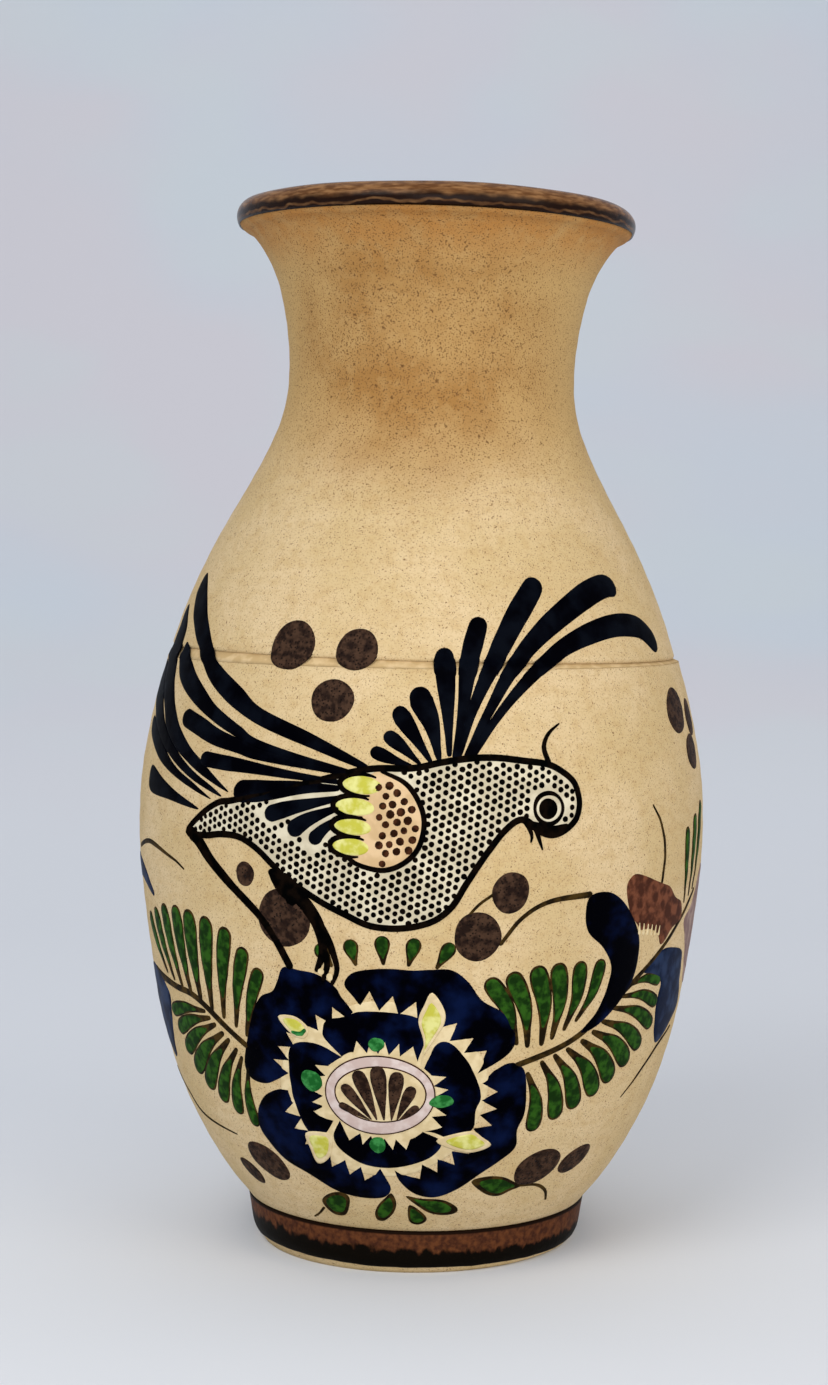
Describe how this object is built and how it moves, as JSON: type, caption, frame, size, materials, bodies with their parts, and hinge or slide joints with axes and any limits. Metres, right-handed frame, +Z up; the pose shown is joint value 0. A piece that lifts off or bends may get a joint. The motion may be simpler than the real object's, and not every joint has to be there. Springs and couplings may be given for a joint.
{
  "type": "stoneware vase",
  "caption": "Tall hand-thrown stoneware vase with flared neck, rolled glazed lip, coil foot and raised slip painting of a bird, flower and ferns.",
  "frame": {"origin": "centre of the foot's resting face", "axes": "+Z up along the pot, the painted bird faces -Y, its beak points to +X; the thrown sections lean slightly to +X"},
  "size_m": [0.1661, 0.1668, 0.3045],
  "materials": {
    "stoneware": "matte, fine iron speckle, faint throwing rings",
    "joining_slip": "matte, slightly rough line",
    "iron_glaze": "glossy, breaks from olive brown to near black",
    "white_slip": "matte, smooth",
    "black_slip": "satin to glossy, slightly raised",
    "cobalt_slip": "satin to glossy, slightly raised, near-black blue",
    "green_slip": "satin, slightly raised, translucent over the clay",
    "brown_slip": "dry, pitted",
    "lilac_slip": "matte, smooth"
  },
  "bodies": {
    "root": {"lower_body": "stoneware", "upper_body": "stoneware", "seam_slip": "joining_slip", "foot_ring": "stoneware", "foot_glaze": "iron_glaze", "rim_glaze": "iron_glaze", "interior_glaze": "iron_glaze", "bird_body": "white_slip", "left_wing_feathers": "black_slip", "left_wing_plumes": "black_slip", "right_wing_feathers": "black_slip", "flower_outer_petals": "cobalt_slip", "flower_inner_petals": "cobalt_slip", "flower_centre": "lilac_slip", "left_fern": "green_slip", "right_fern": "green_slip", "flower_buds": "cobalt_slip", "berries": "brown_slip", "back_sprig": "green_slip"}
  },
  "joints": []
}
